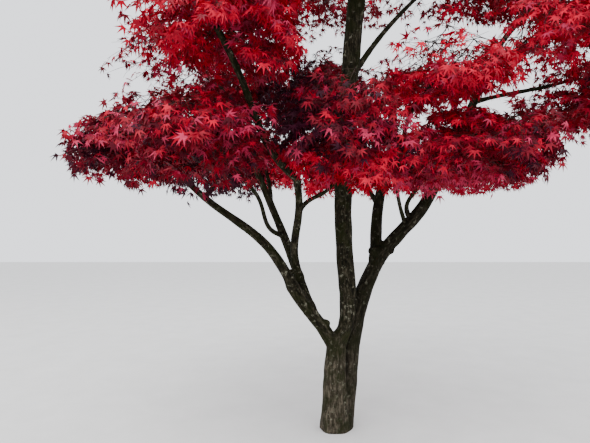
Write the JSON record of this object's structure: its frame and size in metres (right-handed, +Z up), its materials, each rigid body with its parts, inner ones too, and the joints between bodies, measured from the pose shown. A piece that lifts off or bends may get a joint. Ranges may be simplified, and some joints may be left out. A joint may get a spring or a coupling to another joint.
{
  "type": "japanese maple tree",
  "caption": "Garden tree with a short twin-stemmed trunk, arching boughs and a wide layered crown of lobed red autumn leaves, rooted in the ground at its flat cut foot.",
  "frame": {"origin": "middle of the flat cut under the trunk, at ground level", "axes": "+Z up along the trunk, +X to the right and +Y away from the viewer as in the picture"},
  "size_m": [4.1811, 3.1438, 4.5051],
  "materials": {
    "bark": "rough grey-brown bark with moss and pale lichen flecks",
    "leaves": "thin satin leaves in scarlet, crimson, rose and plum"
  },
  "bodies": {
    "root": {"trunk": "bark", "left_bough": "bark", "left_limb": "bark", "left_back_limb": "bark", "upper_left_limb": "bark", "left_front_limb": "bark", "back_left_limb": "bark", "high_back_left_limb": "bark", "front_limb": "bark", "front_small_limb": "bark", "front_upper_limb": "bark", "centre_bough": "bark", "centre_back_limb": "bark", "centre_side_limb": "bark", "leader": "bark", "high_left_limb": "bark", "high_front_limb": "bark", "crown_back_limb": "bark", "top_right_limb": "bark", "top_left_limb": "bark", "right_limb": "bark", "upright_limb": "bark", "back_limb": "bark", "back_upper_limb": "bark", "right_small_limb": "bark", "right_inner_limb": "bark", "right_back_limb": "bark", "right_upper_limb": "bark", "right_lower_limb": "bark", "right_low_limb": "bark", "right_high_limb": "bark", "right_outer_limb": "bark", "left_low_leaves": "leaves", "left_front_leaves": "leaves", "left_back_leaves": "leaves", "back_left_leaves": "leaves", "front_leaves": "leaves", "right_front_leaves": "leaves", "right_low_leaves": "leaves", "right_back_leaves": "leaves", "back_low_leaves": "leaves", "right_far_leaves": "leaves", "front_high_leaves": "leaves", "right_middle_leaves": "leaves", "right_high_leaves": "leaves", "centre_back_leaves": "leaves", "left_high_leaves": "leaves", "high_back_left_leaves": "leaves", "high_back_leaves": "leaves", "high_back_right_leaves": "leaves", "right_outer_leaves": "leaves", "centre_side_leaves": "leaves", "right_top_leaves": "leaves", "high_left_leaves": "leaves", "high_front_leaves": "leaves", "crown_back_leaves": "leaves", "top_left_leaves": "leaves", "top_leaves": "leaves", "top_right_leaves": "leaves"}
  },
  "joints": []
}
